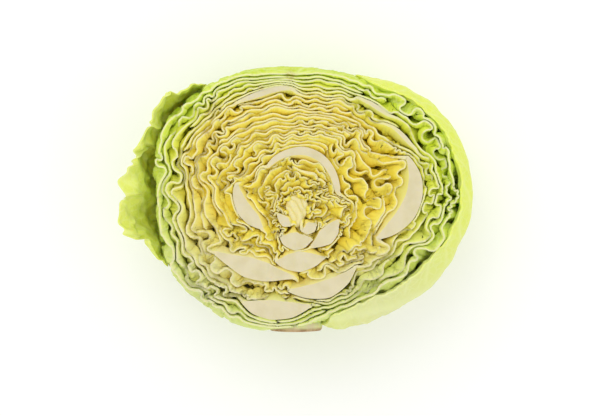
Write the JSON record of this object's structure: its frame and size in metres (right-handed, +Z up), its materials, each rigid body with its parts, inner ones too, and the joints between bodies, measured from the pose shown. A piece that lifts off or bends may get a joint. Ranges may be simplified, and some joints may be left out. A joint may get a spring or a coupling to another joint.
{
  "type": "half cabbage head",
  "caption": "Half cabbage head lying on its round back with the flat cut face up: nested crumpled leaves with thick midribs round a small heart, and a sawn stem.",
  "frame": {"origin": "under the middle of the whole half head, on the surface that its round back lies on", "axes": "+Z up, square out of the knife's cut face; +Y from the stem end towards the leaf tips; +X to the right as the cut face is seen with the stem end at the bottom"},
  "size_m": [0.1988, 0.1518, 0.092],
  "materials": {
    "loose_green": "satin, waxy leaf",
    "wrapper_green": "satin, waxy leaf",
    "outer_pale_green": "satin leaf with pale cut edges",
    "middle_cream": "satin leaf with pale cut edges",
    "inner_yellow": "satin leaf with pale cut edges",
    "heart_yellow": "satin, tightly curled leaf",
    "stem_white": "matte, dried sawn end"
  },
  "bodies": {
    "root": {"wrapper_leaf_1": "wrapper_green", "wrapper_leaf_2": "wrapper_green", "wrapper_leaf_3": "wrapper_green", "wrapper_leaf_4": "wrapper_green", "outer_leaf_1": "outer_pale_green", "outer_leaf_2": "outer_pale_green", "outer_leaf_3": "outer_pale_green", "outer_leaf_4": "outer_pale_green", "outer_leaf_5": "outer_pale_green", "middle_leaf_1": "middle_cream", "middle_leaf_2": "middle_cream", "middle_leaf_3": "middle_cream", "middle_leaf_4": "middle_cream", "middle_leaf_5": "middle_cream", "middle_leaf_6": "middle_cream", "middle_leaf_7": "middle_cream", "inner_leaf_1": "inner_yellow", "inner_leaf_2": "inner_yellow", "inner_leaf_3": "inner_yellow", "inner_leaf_4": "inner_yellow", "inner_leaf_5": "inner_yellow", "heart_leaf_1": "heart_yellow", "heart_leaf_2": "heart_yellow", "heart_leaf_3": "heart_yellow", "loose_leaf_left": "loose_green", "loose_leaf_right": "loose_green", "heart_bud": "heart_yellow", "stem": "stem_white"}
  },
  "joints": []
}
